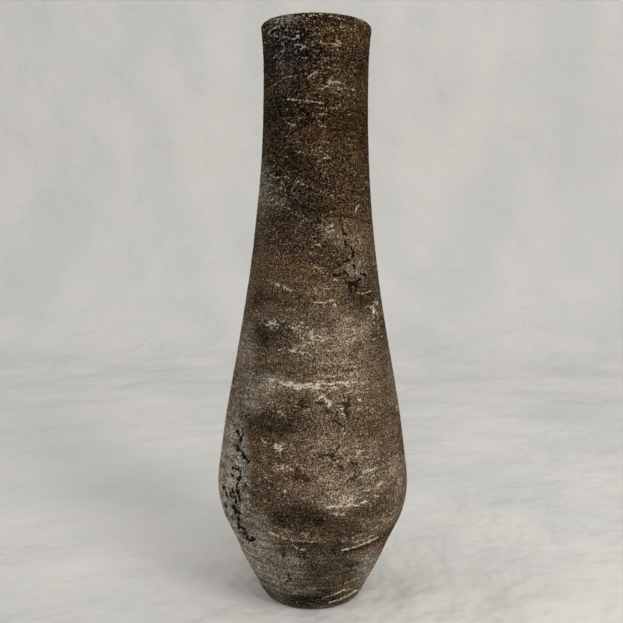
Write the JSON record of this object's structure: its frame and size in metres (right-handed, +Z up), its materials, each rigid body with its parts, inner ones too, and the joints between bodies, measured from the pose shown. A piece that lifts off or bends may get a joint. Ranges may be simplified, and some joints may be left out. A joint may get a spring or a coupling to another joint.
{
  "type": "floor vase",
  "caption": "Tall hand-built floor vase with a low rounded belly, a long tapering neck and a weathered mineral coat.",
  "frame": {"origin": "middle of the foot, on the floor", "axes": "+Z up the vase's axis, from the foot to the mouth; -Y is the side that the picture shows"},
  "size_m": [0.258, 0.258, 0.76],
  "materials": {
    "weathered_coat": "matte gritty mineral coat, umber and charcoal with pale dry-brushed scuffs",
    "fired_clay": "matte bare fired clay",
    "foot_clay": "matte bare fired clay, rubbed at the foot",
    "joint_slip": "matte fine fired slip"
  },
  "bodies": {
    "root": {"foot_disc": "foot_clay", "lower_bowl": "fired_clay", "belly_section": "fired_clay", "shoulder_section": "fired_clay", "neck_section": "fired_clay", "lip_coil": "fired_clay", "foot_luting_coil": "fired_clay", "belly_luting_coil": "fired_clay", "shoulder_luting_coil": "fired_clay", "neck_luting_coil": "fired_clay", "foot_slip_ring": "joint_slip", "belly_slip_ring": "joint_slip", "shoulder_slip_ring": "joint_slip", "neck_slip_ring": "joint_slip", "lip_slip_ring": "joint_slip", "mineral_coat": "weathered_coat"}
  },
  "joints": []
}
